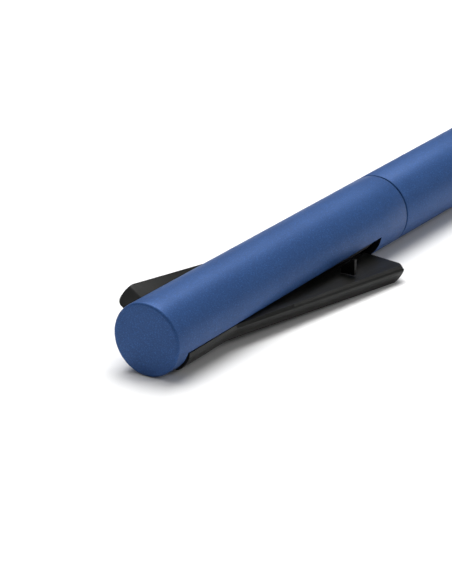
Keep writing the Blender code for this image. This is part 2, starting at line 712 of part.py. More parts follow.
def main():
    """Build every piece of the pen."""
    clear_scene()
    parts = new_collection("rollerball_pen")
    cutters = new_collection("cutters")
    blue = make_material("blue_anodised", (0.035, 0.12, 0.34), 0.4, 0.8)
    black = make_material("black_coated_steel", (0.03, 0.03, 0.028), 0.35, 0.6)
    black_plastic = make_material("black_moulding", (0.02, 0.02, 0.02), 0.6, 0.0)
    steel = make_material("bright_steel", (0.6, 0.6, 0.6), 0.25, 1.0)
    brass = make_material("turned_brass", (0.7, 0.5, 0.2), 0.35, 1.0)
    rubber = make_material("seal_rubber", (0.02, 0.02, 0.02), 0.8, 0.0)
    fibre = make_material("ink_fibre", (0.02, 0.04, 0.2), 0.9, 0.0)
    carbide = make_material("ball_carbide", (0.35, 0.35, 0.37), 0.15, 1.0)

    build_cap_shell(blue, parts, cutters)
    build_clip_blade(black, parts, cutters)
    build_foot(black_plastic, parts)
    build_clip_carrier(black_plastic, parts, cutters)
    build_pivot_pin(steel, parts)
    build_clip_spring(steel, parts)
    build_inner_cap(black_plastic, parts)
    build_snap_ring(steel, parts)
    build_section(black_plastic, parts)
    build_collar_ring(steel, parts)
    build_o_ring(rubber, parts)
    build_front_cone(steel, parts)
    build_barrel_tube(blue, parts)
    build_barrel_plug(blue, parts)
    build_thread_bush(brass, parts)
    build_refill_tube(steel, parts)
    build_refill_nose(black_plastic, parts)
    build_point(steel, parts)
    build_ball(carbide, parts)
    build_wick(fibre, parts)
    build_reservoir(fibre, parts)
    build_refill_plug(black_plastic, parts)
    build_refill_spring(steel, parts)


main()
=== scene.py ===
"""Studio model of a capped rollerball pen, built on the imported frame.

The pen's axis is X.  X = 0 is the cap's flat end face, the barrel runs towards +X and
the pen lies on the table at the lowest Z of its frame.  Everything is in metres.
"""
import logging
import math
from dataclasses import dataclass
from enum import Enum
from typing import Any, Iterable, Sequence

import bmesh
import bpy
from mathutils import Matrix, Vector


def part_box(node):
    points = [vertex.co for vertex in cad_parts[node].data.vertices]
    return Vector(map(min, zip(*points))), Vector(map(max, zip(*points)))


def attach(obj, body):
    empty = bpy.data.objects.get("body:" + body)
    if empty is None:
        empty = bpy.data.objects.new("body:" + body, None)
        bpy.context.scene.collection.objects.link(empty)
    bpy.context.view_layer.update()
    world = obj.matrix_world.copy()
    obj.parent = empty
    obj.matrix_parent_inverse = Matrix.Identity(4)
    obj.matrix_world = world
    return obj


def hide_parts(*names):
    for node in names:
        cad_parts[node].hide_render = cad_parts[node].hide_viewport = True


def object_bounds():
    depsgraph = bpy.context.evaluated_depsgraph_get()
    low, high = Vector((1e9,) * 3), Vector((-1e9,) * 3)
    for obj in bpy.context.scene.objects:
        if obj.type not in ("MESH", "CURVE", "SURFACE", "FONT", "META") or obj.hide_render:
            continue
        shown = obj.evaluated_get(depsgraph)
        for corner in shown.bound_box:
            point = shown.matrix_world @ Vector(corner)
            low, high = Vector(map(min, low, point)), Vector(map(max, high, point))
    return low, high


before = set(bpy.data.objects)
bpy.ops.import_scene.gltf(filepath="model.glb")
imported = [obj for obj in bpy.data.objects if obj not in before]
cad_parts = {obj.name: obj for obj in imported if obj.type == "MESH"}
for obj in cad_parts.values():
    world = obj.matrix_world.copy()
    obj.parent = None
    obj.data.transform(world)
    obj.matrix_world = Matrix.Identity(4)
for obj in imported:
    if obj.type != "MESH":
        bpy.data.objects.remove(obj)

LOG = logging.getLogger("rollerball_pen")
MM = 0.001
MERGE = 0.000001
END_SHARE = 0.55         # inner ring of a flat end face, as a share of its radius
AXIS = Vector((1.0, 0.0, 0.0))
CAD_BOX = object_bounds()

Profile = Sequence[tuple[float, float]]


class Body(Enum):
    """The rigid bodies of the frame that pieces ride on."""

    BARREL = "barrel"
    REFILL = "refill"
    BALL = "ball"
    SECTION = "section"
    CAP = "cap"
    CLIP = "clip"


class Smooth(Enum):
    """How sharp an edge must be before its shading is split."""

    TURNED = 32.0
    FACETED = 18.0


# --- shader graph ---
class Signal:
    """A value socket that can be used in Python arithmetic."""

    def __init__(self, graph: "Graph", socket: bpy.types.NodeSocket) -> None:
        """Keep the socket and the graph that it belongs to."""
        self.graph = graph
        self.socket = socket

    def _math(self, operation: str, first: Any, second: Any) -> "Signal":
        """Add one Math node on two numbers or signals."""
        values = {0: first, 1: second}
        return self.graph.node("ShaderNodeMath", {"operation": operation}, values).out()

    def __add__(self, other: Any) -> "Signal":
        """Sum."""
        return self._math("ADD", self, other)

    __radd__ = __add__

    def __sub__(self, other: Any) -> "Signal":
        """Difference."""
        return self._math("SUBTRACT", self, other)

    def __rsub__(self, other: Any) -> "Signal":
        """Difference, reflected."""
        return self._math("SUBTRACT", other, self)

    def __mul__(self, other: Any) -> "Signal":
        """Product."""
        return self._math("MULTIPLY", self, other)

    __rmul__ = __mul__

    def fit(self, low: float, high: float, start: float = 0.0,
            end: float = 1.0) -> "Signal":
        """Map a range of the signal to another, clamped.

        Args:
            low: input that gives start.
            high: input that gives end.
            start: output at low.
            end: output at high.

        Returns:
            The mapped signal.
        """
        values = {"Value": self, "From Min": low, "From Max": high, "To Min": start,
                  "To Max": end}
        return self.graph.node("ShaderNodeMapRange", {"clamp": True}, values).out()


class Step:
    """One node of a graph."""

    def __init__(self, graph: "Graph", node: bpy.types.Node) -> None:
        """Keep the node and its graph."""
        self.graph = graph
        self.node = node

    def out(self, name: Any = 0) -> Signal:
        """An output of the node, by name or number."""
        return Signal(self.graph, self.node.outputs[name])


class Graph:
    """Node tree of one material."""

    def __init__(self, name: str) -> None:
        """Start an empty material of this name."""
        self.material = bpy.data.materials.new(name)
        self.material.use_nodes = True
        self.tree = self.material.node_tree
        self.tree.nodes.clear()
        self.coordinate = self.node("ShaderNodeTexCoord", {}, {}).out("Object")

    def node(self, kind: str, settings: dict[str, Any], inputs: dict[Any, Any]) -> Step:
        """Add a node.

        Args:
            kind: the node's type.
            settings: attributes of the node, set before its inputs.
            inputs: values or signals of its sockets, by name or number.

        Returns:
            The node as a step.
        """
        node = self.tree.nodes.new(kind)
        for key, value in settings.items():
            setattr(node, key, value)
        for key, value in inputs.items():
            if isinstance(value, Signal):
                self.tree.links.new(value.socket, node.inputs[key])
            elif isinstance(value, tuple) and len(value) == 3 \
                    and node.inputs[key].type == "RGBA":
                node.inputs[key].default_value = (*value, 1.0)
            else:
                node.inputs[key].default_value = value
        return Step(self, node)

    def stretched(self, scale: tuple[float, float, float]) -> Signal:
        """Object coordinates multiplied along each axis."""
        return self.node("ShaderNodeMapping", {}, {"Vector": self.coordinate,
                                                   "Scale": scale}).out()

    def noise(self, scale: float, detail: float, roughness: float = 0.5,
              vector: Signal | None = None) -> Signal:
        """Noise value.

        Args:
            scale: spots per metre.
            detail: number of octaves.
            roughness: weight of the finer octaves.
            vector: coordinates, or None for the object's own.

        Returns:
            The noise value, 0 to 1.
        """
        return self.node("ShaderNodeTexNoise", {}, {
            "Vector": vector or self.coordinate, "Scale": scale, "Detail": detail,
            "Roughness": roughness}).out("Fac")

    def mix(self, factor: Any, first: Any, second: Any) -> Signal:
        """Mix two colours.

        Args:
            factor: a number or signal, 0 gives first.
            first: colour or signal.
            second: colour or signal.

        Returns:
            The mixed colour.
        """
        return self.node("ShaderNodeMix", {"data_type": "RGBA"},
                         {0: factor, 6: first, 7: second}).out(2)

    def bump(self, height: Signal, depth: float) -> Signal:
        """Bump normal from a height signal, with its depth in metres."""
        return self.node("ShaderNodeBump", {}, {"Height": height, "Distance": depth,
                                                "Strength": 1.0}).out()

    def principled(self, values: dict[str, Any]) -> bpy.types.Material:
        """Close the graph with one Principled shader."""
        shader = self.node("ShaderNodeBsdfPrincipled", {}, values).out("BSDF")
        self.node("ShaderNodeOutputMaterial", {}, {"Surface": shader})
        return self.material


# --- finishes ---
@dataclass(frozen=True)
class Finish:
    """A surface finish and the record slot that it belongs to."""

    name: str
    slot: str

    def material(self) -> bpy.types.Material:
        """The finish's material, made once."""
        found = bpy.data.materials.get(self.name)
        return found or self.dress(Graph(self.name))

    def dress(self, graph: Graph) -> bpy.types.Material:
        """Build the nodes."""
        raise NotImplementedError


@dataclass(frozen=True)
class FleckLacquer(Finish):
    """Satin lacquer with a fine metallic fleck."""

    colour: tuple[float, float, float] = (0.025, 0.073, 0.212)
    fleck: tuple[float, float, float] = (0.04, 0.13, 0.38)
    deep: tuple[float, float, float] = (0.01, 0.038, 0.13)
    fleck_scale: float = 9000.0
    roughness: float = 0.47
    metallic: float = 0.35
    specular: float = 0.22
    coat: float = 0.05
    coat_roughness: float = 0.3

    def dress(self, graph: Graph) -> bpy.types.Material:
        """Build the fleck, the cloudy tone under it and the faint orange peel."""
        cell = graph.node("ShaderNodeTexVoronoi", {"feature": "F1"},
                          {"Vector": graph.coordinate, "Scale": self.fleck_scale})
        random = graph.node("ShaderNodeSeparateColor", {}, {0: cell.out("Color")})
        bright = random.out(0).fit(0.72, 1.0, 0.0, 0.55)
        dark = random.out(1).fit(0.7, 1.0, 0.0, 0.4)
        cloud = graph.noise(90.0, 3.0)
        tone = graph.mix(cloud.fit(0.35, 0.65, 0.0, 0.22), self.colour, self.deep)
        tone = graph.mix(bright, tone, self.fleck)
        tone = graph.mix(dark, tone, self.deep)
        peel = graph.noise(2600.0, 1.0)
        grain = random.out(2)
        rough = graph.noise(400.0, 2.0).fit(0.3, 0.7, -0.03, 0.03) + self.roughness
        normal = graph.bump(peel + grain * 0.35, 0.000004)
        return graph.principled({
            "Base Color": tone, "Roughness": rough + grain * 0.06,
            "Metallic": self.metallic, "Specular IOR Level": self.specular,
            "Coat Weight": self.coat, "Coat Roughness": self.coat_roughness,
            "Normal": normal})


@dataclass(frozen=True)
class SatinCoat(Finish):
    """Thin satin coating over steel, with faint handling marks."""

    colour: tuple[float, float, float] = (0.004, 0.004, 0.0036)
    rubbed: tuple[float, float, float] = (0.01, 0.01, 0.009)
    roughness: float = 0.37
    specular: float = 0.18

    def dress(self, graph: Graph) -> bpy.types.Material:
        """Build the grain, the rubbed patches and the fine scratches."""
        patch = graph.noise(260.0, 4.0, 0.6).fit(0.42, 0.72, 0.0, 0.6)
        scratch = graph.noise(900.0, 2.0, 0.5, graph.stretched((0.06, 1.0, 1.0)))
        grain = graph.noise(9000.0, 1.0)
        tone = graph.mix(patch, self.colour, self.rubbed)
        rough = scratch.fit(0.35, 0.65, -0.03, 0.05) - patch * 0.05 + self.roughness
        normal = graph.bump(grain + scratch * 0.4, 0.000003)
        return graph.principled({"Base Color": tone, "Roughness": rough,
                                 "Specular IOR Level": self.specular, "Normal": normal})


@dataclass(frozen=True)
class Moulding(Finish):
    """Matt moulded plastic with a spark-eroded grain."""

    colour: tuple[float, float, float] = (0.016, 0.016, 0.017)
    roughness: float = 0.55
    specular: float = 0.5

    def dress(self, graph: Graph) -> bpy.types.Material:
        """Build the grain and a slight unevenness in tone."""
        grain = graph.noise(6000.0, 2.0, 0.6)
        cloud = graph.noise(150.0, 2.0)
        tone = graph.mix(cloud.fit(0.3, 0.7, 0.0, 0.4), self.colour,
                         tuple(c * 1.7 for c in self.colour))
        rough = grain.fit(0.3, 0.7, -0.06, 0.06) + self.roughness
        return graph.principled({"Base Color": tone, "Roughness": rough,
                                 "Specular IOR Level": self.specular,
                                 "Normal": graph.bump(grain, 0.000008)})


@dataclass(frozen=True)
class TurnedMetal(Finish):
    """Metal turned or drawn about the pen's axis."""

    colour: tuple[float, float, float] = (0.6, 0.6, 0.61)
    roughness: float = 0.25
    line_depth: float = 0.0000015
    lines: float = 5000.0

    def dress(self, graph: Graph) -> bpy.types.Material:
        """Build the fine tool lines round the axis and a patchy shine."""
        line = graph.noise(self.lines, 2.0, 0.6, graph.stretched((1.0, 0.02, 0.02)))
        patch = graph.noise(300.0, 3.0)
        tone = graph.mix(patch.fit(0.35, 0.7, 0.0, 0.35), self.colour,
                         tuple(c * 0.72 for c in self.colour))
        rough = line.fit(0.3, 0.7, -0.04, 0.08) + patch * 0.06 + self.roughness
        return graph.principled({"Base Color": tone, "Metallic": 1.0, "Roughness": rough,
                                 "Normal": graph.bump(line, self.line_depth)})


@dataclass(frozen=True)
class SealRubber(Finish):
    """Dusty black rubber."""

    def dress(self, graph: Graph) -> bpy.types.Material:
        """Build a pale bloom over a dark base."""
        bloom = graph.noise(1200.0, 4.0, 0.7).fit(0.45, 0.75, 0.0, 0.5)
        tone = graph.mix(bloom, (0.012, 0.012, 0.012), (0.05, 0.05, 0.05))
        return graph.principled({"Base Color": tone, "Roughness": bloom * 0.15 + 0.68,
                                 "Normal": graph.bump(bloom, 0.000006)})


@dataclass(frozen=True)
class InkFibre(Finish):
    """Bundled fibre soaked with ink."""

    def dress(self, graph: Graph) -> bpy.types.Material:
        """Build the strands along the axis."""
        strand = graph.noise(7000.0, 3.0, 0.7, graph.stretched((0.03, 1.0, 1.0)))
        tone = graph.mix(strand.fit(0.3, 0.7), (0.004, 0.01, 0.06), (0.02, 0.06, 0.28))
        return graph.principled({"Base Color": tone, "Roughness": 0.85,
                                 "Normal": graph.bump(strand, 0.00002)})


@dataclass(frozen=True)
class PaleFloor(Finish):
    """Plain pale studio floor."""

    level: float = 0.86

    def dress(self, graph: Graph) -> bpy.types.Material:
        """Build a nearly even matt surface."""
        cloud = graph.noise(3.0, 1.0).fit(0.3, 0.7, 0.0, 0.03)
        tone = graph.mix(cloud, (self.level,) * 3, (self.level * 0.97,) * 3)
        return graph.principled({"Base Color": tone, "Roughness": 0.9,
                                 "Specular IOR Level": 0.1})


LACQUER = FleckLacquer("blue_fleck_lacquer", "blue_lacquer")
# Painted shade: the near-black bore colour darkens the cap's inside and the slot's cut
# walls as if they lay in deep shadow.
PAINTED_SHADE_BORE = SatinCoat("cap_bore_painted_shade", "blue_lacquer", colour=(0.002, 0.0025, 0.004),
                      rubbed=(0.005, 0.006, 0.01), roughness=0.6, specular=0.1)
CLIP_COAT = SatinCoat("satin_black_coat", "black_coat")
# Painted shade: a near-black matte for the foot's faces that lie in the cap's shadow; the
# foot's lit edge keeps the clip's satin coat.
FOOT_PAINTED_SHADE = Moulding("foot_painted_shade", "black_moulding", colour=(0.001, 0.001, 0.001),
                      roughness=0.8, specular=0.05)
BLACK_MOULDING = Moulding("matt_black_moulding", "black_moulding")
GRIP_MOULDING = Moulding("grip_moulding", "black_moulding", roughness=0.42)
BRIGHT_STEEL = TurnedMetal("drawn_steel", "bright_steel")
CHROME = TurnedMetal("polished_chrome", "chrome_trim", colour=(0.78, 0.78, 0.79),
                     roughness=0.09, line_depth=0.0000004)
BRASS = TurnedMetal("turned_brass", "turned_brass", colour=(0.72, 0.5, 0.2),
                    roughness=0.3, lines=3000.0)
RUBBER = SealRubber("seal_rubber", "seal_rubber")
FIBRE = InkFibre("inked_fibre", "ink_fibre")
BALL_METAL = TurnedMetal("ball_hard_metal", "ball_metal", colour=(0.4, 0.4, 0.42),
                         roughness=0.08, line_depth=0.0000001)
FLOOR = PaleFloor("pale_floor", "")


# --- mesh helpers ---
def place(name: str, work: bmesh.types.BMesh, finish: Finish, body: Body,
          nodes: Iterable[str] = (), smooth: Smooth = Smooth.TURNED) -> bpy.types.Object:
    """Turn a bmesh into a finished piece of the pen.

    Args:
        name: the piece's name.
        work: the shape, which is freed.
        finish: its finish.
        body: the body that it rides on.
        nodes: frame nodes that it stands for.
        smooth: how sharp an edge keeps its crease.

    Returns:
        The piece.
    """
    bmesh.ops.remove_doubles(work, verts=work.verts, dist=MERGE)
    bmesh.ops.recalc_face_normals(work, faces=work.faces)
    mesh = bpy.data.meshes.new(name)
    work.to_mesh(mesh)
    work.free()
    mesh.shade_smooth()
    mesh.set_sharp_from_angle(angle=math.radians(smooth.value))
    piece = bpy.data.objects.new(name, mesh)
    bpy.context.scene.collection.objects.link(piece)
    piece.data.materials.append(finish.material())
    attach(piece, body.value)
    if nodes:
        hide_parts(*nodes)
    LOG.info("%s: %d faces", name, len(mesh.polygons))
    return piece


def spun(profile: Profile, steps: int, closed: bool) -> bmesh.types.BMesh:
    """Spin a profile of (station, radius) points once round the pen's axis.

    Args:
        profile: the points, in order.
        steps: number of steps in the turn.
        closed: whether the last point joins the first.

    Returns:
        The spun shape, with poles and seam merged.
    """
    work = bmesh.new()
    points = [work.verts.new((station, 0.0, radius)) for station, radius in profile]
    pairs = list(zip(points, points[1:]))
    if closed:
        pairs.append((points[-1], points[0]))
    edges = [work.edges.new(pair) for pair in pairs]
    bmesh.ops.spin(work, geom=points + edges, cent=(0.0, 0.0, 0.0), axis=AXIS,
                   angle=math.tau, steps=steps, use_merge=True, use_duplicate=False)
    bmesh.ops.remove_doubles(work, verts=work.verts, dist=MERGE)
    bmesh.ops.dissolve_degenerate(work, edges=work.edges, dist=MERGE)
    return work


def arc(station: float, radius: float, size: float, start: float, end: float,
        count: int) -> list[tuple[float, float]]:
    """Points of an arc in a profile.

    Args:
        station: station of its centre.
        radius: radius of its centre.
        size: the arc's radius.
        start: first angle in degrees, 0 along +X and 90 away from the axis.
        end: last angle.
        count: number of steps.

    Returns:
        The points.
    """
    points = []
    for index in range(count + 1):
        turn = math.radians(start + (end - start) * index / count)
        points.append((station + size * math.cos(turn), radius + size * math.sin(turn)))
    return points


def groove(centre: float, level: float, half: float, depth: float) -> Profile:
    """Points of a shallow round groove in a profile, along +X.

    Args:
        centre: station of its middle.
        level: radius of the surface that it is cut in.
        half: half its width.
        depth: its depth.

    Returns:
        The points.
    """
    return [(centre + half * (part / 3.0 - 1.0),
             level - depth * math.sin(math.radians(part * 30.0))) for part in range(7)]


def bore_of(name: str) -> float:
    """Radius of the bore of one of the frame's rings."""
    return min(math.hypot(v.co.y, v.co.z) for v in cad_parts[name].data.vertices)


def plate(corners: Iterable[Sequence[float]], away: Sequence[float]) -> bmesh.types.BMesh:
    """Extrude a flat outline.

    Args:
        corners: the outline.
        away: the way from one side of the plate to the other.

    Returns:
        The plate.
    """
    work = bmesh.new()
    face = work.faces.new([work.verts.new(corner) for corner in corners])
    grown = bmesh.ops.extrude_face_region(work, geom=[face])["geom"]
    lifted = [item for item in grown if isinstance(item, bmesh.types.BMVert)]
    bmesh.ops.translate(work, verts=lifted, vec=away)
    return work


def soften(piece: bpy.types.Object, width: float, segments: int,
           angle: float = 35.0) -> None:
    """Round a piece's sharp edges with a Bevel modifier.

    Args:
        piece: the piece.
        width: width of the rounding.
        segments: its segments.
        angle: edges sharper than this in degrees are rounded.
    """
    bevel = piece.modifiers.new("edges", "BEVEL")
    bevel.width = width
    bevel.segments = segments
    bevel.limit_method = "ANGLE"
    bevel.angle_limit = math.radians(angle)


# --- cap ---
@dataclass
class CapTube:
    """The drawn cap: one tube with a flat closed end and two slots."""

    slot_angle: float = -42.0
    slot_upper_start: float = 2.3 * MM
    slot_upper_end: float = 2.96 * MM
    slot_lower: float = 2.58 * MM
    slot_start: float = 3.0 * MM
    slot_end: float = 57.5 * MM
    tab_angle: float = 146.0
    tab_slot_width: float = 1.82 * MM
    tab_slot_end: float = 25.5 * MM
    slot_rows: int = 12
    tab_rows: tuple[float, ...] = (19.0 * MM, 14.0 * MM, 8.0 * MM)
    wall: float = 0.9 * MM
    lip: float = 0.12 * MM
    end_bevel: float = 0.45 * MM
    edge: float = 0.07 * MM
    column_angle: float = 3.0
    blend_angle: float = 50.0

    def outline(self, length: float, radius: float) -> list[tuple[float, float]]:
        """Outer profile from the mouth to the middle of the end face."""
        lip, rows = self.lip, self.slot_rows
        stations = [self.slot_end]
        stations += [self.slot_end + (self.tab_slot_end - self.slot_end) * row / rows
                     for row in range(1, rows)]
        stations += [self.tab_slot_end, *self.tab_rows, self.slot_start]
        points = arc(length - lip, radius - lip, lip, 0.0, 90.0, 3)
        points += [(station, radius) for station in stations]
        bevel = self.end_bevel
        points += arc(bevel, radius - bevel, bevel, 90.0, 180.0, 6)
        points += [(0.0, radius * END_SHARE), (0.0, 0.0)]
        return points

    def edges(self, radius: float) -> tuple[float, float, float, float, float]:
        """Angles of the slot edges: lower, upper at each end, then the tab slot's two."""
        def reach(size: float) -> float:
            """Angle of a chord's end."""
            return math.degrees(math.asin(size / radius))

        tab = reach(self.tab_slot_width / 2)
        return (self.slot_angle - reach(self.slot_lower),
                self.slot_angle + reach(self.slot_upper_start),
                self.slot_angle + reach(self.slot_upper_end),
                self.tab_angle - tab, self.tab_angle + tab)

    def build(self) -> bpy.types.Object:
        """Spin the shell in arcs from edge to edge, open its slots and give it a wall."""
        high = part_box("cap_shell")[1]
        radius = high.z
        lower, upper, upper_end, tab_low, tab_high = self.edges(radius)
        work = bmesh.new()
        first = math.radians(lower)
        points = [work.verts.new((station, -r * math.cos(first), r * math.sin(first)))
                  for station, r in self.outline(high.x, radius)]
        geometry: list[Any] = points + [work.edges.new(pair)
                                        for pair in zip(points, points[1:])]
        stops = [lower, upper, tab_low, tab_high, lower + 360.0]
        for start, end in zip(stops, stops[1:]):
            steps = max(2, round((end - start) / self.column_angle))
            result = bmesh.ops.spin(work, geom=geometry, cent=(0.0, 0.0, 0.0), axis=-AXIS,
                                    angle=math.radians(end - start), steps=steps,
                                    use_merge=False, use_duplicate=False)
            geometry = result["geom_last"]
        bmesh.ops.remove_doubles(work, verts=work.verts, dist=MERGE)
        bmesh.ops.dissolve_degenerate(work, edges=work.edges, dist=MERGE)
        bmesh.ops.recalc_face_normals(work, faces=work.faces)
        opened = [face for face in work.faces
                  if self.in_slot(face.calc_center_median(), radius)]
        bmesh.ops.delete(work, geom=opened, context="FACES")
        self.widen(work, upper, upper_end - upper)
        piece = place("cap_tube", work, LACQUER, Body.CAP, ["cap_shell"])
        wall = piece.modifiers.new("wall", "SOLIDIFY")
        wall.thickness = self.wall
        wall.offset = -1.0
        wall.use_even_offset = True
        # The inner wall and the slot rims take the bore's near-black painted shade.
        wall.material_offset = 1
        wall.material_offset_rim = 1
        piece.data.materials.append(PAINTED_SHADE_BORE.material())
        soften(piece, self.edge, 2, 50.0)
        return piece

    def widen(self, work: bmesh.types.BMesh, edge: float, gain: float) -> None:
        """Turn the slot's upper edge up towards its far end, fading out above it.

        Args:
            work: the shell.
            edge: angle of the upper edge at the press end.
            gain: how much higher it is at the far end, in degrees.
        """
        for vertex in work.verts:
            angle = math.degrees(math.atan2(vertex.co.z, -vertex.co.y))
            fade = 1.0 - (angle - edge) / self.blend_angle
            along = (vertex.co.x - self.slot_start) / (self.slot_end - self.slot_start)
            if angle > edge - 0.01 and fade > 0.0 and along > 0.0:
                turn = Matrix.Rotation(-math.radians(gain * min(along, 1.0) * fade), 3, "X")
                vertex.co = turn @ vertex.co

    def in_slot(self, centre: Vector, radius: float) -> bool:
        """Whether a face of the outer skin lies in one of the slots."""
        lower, upper, _, tab_low, tab_high = self.edges(radius)
        angle = math.degrees(math.atan2(centre.z, -centre.y))
        if lower < angle < upper:
            return self.slot_start < centre.x < self.slot_end
        return tab_low < angle < tab_high and self.slot_start < centre.x < self.tab_slot_end


# --- clip ---
@dataclass
class ClipBlade:
    """Black clip: press end and arm on one side of the cap, tab on the other."""

    angle: float = -34.0
    press_end: float = 3.55 * MM
    kink: float = 15.75 * MM
    arm_width: float = 8.7 * MM
    arm_thickness: float = 2.3 * MM
    web_thickness: float = 1.5 * MM
    tab_crest: float = 5.5 * MM
    tab_nose: float = 3.15 * MM
    tab_facet: float = 3.0 * MM
    tab_height: float = 2.63 * MM
    tab_end: float = 22.0 * MM
    tip_round: float = 0.9 * MM
    tab_lift: float = 0.23 * MM
    tab_flat: float = 0.8 * MM
    tab_steps: int = 16
    tab_curve: float = 0.75
    web_foot: float = 4.4 * MM
    web_inset: float = 1.1 * MM
    web_gap: float = 0.15 * MM
    web_step: float = 0.4 * MM
    edge: float = 0.1 * MM
    foot_edge: float = 0.08 * MM
    foot_flat: float = 0.4 * MM
    foot_inner: float = 0.9 * MM

    def frame(self) -> Matrix:
        """Matrix whose X is the pen's axis and whose Y points out along the clip."""
        turn = math.radians(self.angle)
        out = Vector((0.0, -math.cos(turn), math.sin(turn)))
        return Matrix((AXIS, out, AXIS.cross(out))).transposed().to_4x4()

    def sections(self) -> list[list[Vector]]:
        """Sections of the arm, from its press end to its tip.

        Each runs inner top, outer top, the ridge, round the outside and inner bottom.
        """
        low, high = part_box("clip_blade")
        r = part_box("cap_shell")[1].z
        reach, tip, table = -low.y, high.x, -r
        inner, top = reach - self.arm_width, table + self.arm_thickness

        def ring(station: float, corners: Profile) -> list[Vector]:
            """Points of one section given as (degrees above -Y, share of the radius)."""
            return [Vector((station, -r * share * math.cos(math.radians(angle)),
                            r * share * math.sin(math.radians(angle))))
                    for angle, share in corners]

        press = ring(self.press_end, [
            (-21.8, 0.66), (-21.4, 0.998), (-26.5, 1.02), (-30.3, 1.042), (-33.5, 1.047),
            (-39.0, 1.055), (-45.0, 1.065), (-50.0, 1.072), (-55.0, 1.075), (-59.0, 1.065),
            (-62.0, 1.05), (-62.0, 0.66)])
        kink = ring(self.kink, [
            (-19.2, 0.65), (-18.2, 0.995), (-20.6, 1.022), (-22.6, 1.047), (-25.5, 1.047),
            (-30.0, 1.05), (-36.0, 1.05), (-43.0, 1.048), (-49.0, 1.043), (-55.0, 1.037),
            (-61.0, 1.03), (-62.0, 0.66)])
        end = [Vector((tip - back * MM, -(reach - side * MM), table + height * MM))
               for back, side, height in (
                   (1.1, 0.75, 2.3), (1.9, 0.2, 2.12), (2.3, 0.0, 1.9), (2.6, 0.02, 1.55),
                   (2.85, 0.15, 1.2), (3.1, 0.35, 0.8), (3.35, 0.6, 0.4), (3.6, 0.95, 0.0),
                   (3.8, 2.1, 0.0), (3.7, 3.3, 0.0))]
        end = ([Vector((tip, -inner, top))] + end
               + [Vector((tip - 3.3 * MM, -inner - 0.5 * MM, table))])
        middle = [first.lerp(last, 0.33) for first, last in zip(kink, end)]
        clear = (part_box("inner_cap")[1].z + 0.3 * MM) / r
        middle[0] = ring(middle[0].x, [(-25.0, clear)])[0]
        middle[-1] = ring(middle[-1].x, [(-57.0, clear + 0.05)])[0]
        return [press, kink, middle, end]

    def build_arm(self) -> bpy.types.Object:
        """Bridge the sections, cap both ends and round the far corner."""
        work = bmesh.new()
        rings = []
        for points in self.sections():
            corners = [work.verts.new(point) for point in points]
            rings.append([work.edges.new(pair)
                          for pair in zip(corners, corners[1:] + corners[:1])])
        for first, second in zip(rings, rings[1:]):
            bmesh.ops.bridge_loops(work, edges=first + second)
        for ring in (rings[0], rings[-1]):
            bmesh.ops.contextual_create(work, geom=ring)
        bmesh.ops.recalc_face_normals(work, faces=work.faces)
        corner = rings[-1][1:2]
        bmesh.ops.bevel(work, geom=corner, offset=self.tip_round, offset_type="OFFSET",
                        segments=6, profile=0.5, affect="EDGES", material=-1)
        piece = place("clip_arm", work, CLIP_COAT, Body.CLIP, ["clip_blade"],
                      Smooth.FACETED)
        soften(piece, self.edge, 2, 14.0)
        return piece

    def build_tab(self) -> bpy.types.Object:
        """Cut the web and its press tab from plate."""
        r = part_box("cap_shell")[1].z
        surface, crest = r + self.tab_lift, r + self.tab_height
        wall = r - self.web_inset
        neck = self.press_end - self.web_gap
        points = [(neck + self.web_step, self.web_foot), (neck + self.web_step, -wall),
                  (neck, -wall), (neck, -surface),
                  (self.tab_crest - self.tab_nose, -surface)]
        for index in range(1, self.tab_steps + 1):
            turn = math.radians(90.0 * index / self.tab_steps)
            rise = (crest - surface) * math.sin(turn) ** self.tab_curve
            points.append((self.tab_crest - self.tab_nose * math.cos(turn),
                           -surface - rise))
        points += [(self.tab_crest + self.tab_flat, -crest), (self.tab_end, -r - 0.1 * MM),
                   (self.tab_end + 1.2 * MM, -wall),
                   (self.tab_end + 1.4 * MM, self.web_foot)]
        half = self.web_thickness / 2
        work = plate([(station, out, -half) for station, out in points],
                     (0.0, 0.0, self.web_thickness))
        self.cut_facet(work)
        bmesh.ops.transform(work, matrix=self.frame(), verts=work.verts)
        piece = place("clip_tab", work, CLIP_COAT, Body.CLIP)
        soften(piece, self.edge, 3, 20.0)
        return piece

    def cut_facet(self, work: bmesh.types.BMesh) -> None:
        """Slice the slanting facet off the tab's nose, in the clip's own frame."""
        slope = math.atan2(self.web_thickness, self.tab_facet)
        away = Vector((-math.sin(slope), 0.0, -math.cos(slope)))
        everything = work.verts[:] + work.edges[:] + work.faces[:]
        cut = bmesh.ops.bisect_plane(
            work, geom=everything, dist=MERGE, clear_outer=True,
            plane_co=(self.tab_crest, 0.0, -self.web_thickness / 2), plane_no=away)
        rim = [item for item in cut["geom_cut"] if isinstance(item, bmesh.types.BMEdge)]
        bmesh.ops.edgenet_fill(work, edges=rim)

    def build_foot(self) -> bpy.types.Object:
        """Thin upright foot on the arm's flat face, with rounded upright edges; its shaded
        faces carry near-black painted shade and its lit edge the clip's coat.
        """
        low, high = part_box("clip_foot")
        corners = [(high.y, low.z), (low.y, low.z), (low.y, high.z),
                   (low.y + self.foot_flat, high.z), (high.y, low.z + self.foot_inner)]
        work = plate([(low.x, side, height) for side, height in corners],
                     (high.x - low.x, 0.0, 0.0))
        piece = place("clip_foot_plate", work, FOOT_PAINTED_SHADE, Body.CLIP, ["clip_foot"])
        piece.data.materials.append(CLIP_COAT.material())
        # Faces that do not face -Y get the near-black painted shade; the lit -Y edge gets
        # the clip's coat.
        for side in piece.data.polygons:
            side.material_index = 1 if side.normal.y < -0.5 else 0
        soften(piece, self.foot_edge, 2)
        return piece


